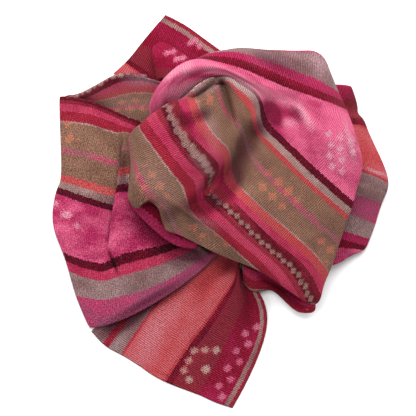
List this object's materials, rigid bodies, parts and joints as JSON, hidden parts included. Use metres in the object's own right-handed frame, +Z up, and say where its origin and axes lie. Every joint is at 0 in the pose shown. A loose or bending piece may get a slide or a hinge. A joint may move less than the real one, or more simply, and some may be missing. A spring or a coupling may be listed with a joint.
{
  "type": "woven scarf",
  "caption": "Long striped woven scarf dropped in a loose heap, one end fanned out beside the gathered folds, flat underneath",
  "frame": {"origin": "on the surface under the middle of the heap's bounding box", "axes": "+X to the right of the picture, +Y to its top (away), +Z up off the surface that the scarf lies on"},
  "size_m": [0.312, 0.37, 0.0934],
  "materials": {
    "layers_cloth": "matte weave",
    "middle_cloth": "matte weave",
    "front_cloth": "matte weave",
    "back_cloth": "matte weave",
    "far_corner_cloth": "matte weave",
    "doubled_cloth": "matte weave",
    "near_corner_cloth": "matte weave",
    "return_cloth": "matte weave",
    "roll_cloth": "matte weave",
    "right_flap_cloth": "matte weave"
  },
  "bodies": {
    "root": {"folded_layers": "layers_cloth", "middle": "middle_cloth", "end_front": "front_cloth", "end_back": "back_cloth", "far_corner": "far_corner_cloth", "doubled_corner": "doubled_cloth", "near_corner": "near_corner_cloth", "return_layer": "return_cloth", "roll_layer": "roll_cloth", "right_flap": "right_flap_cloth"}
  },
  "joints": []
}
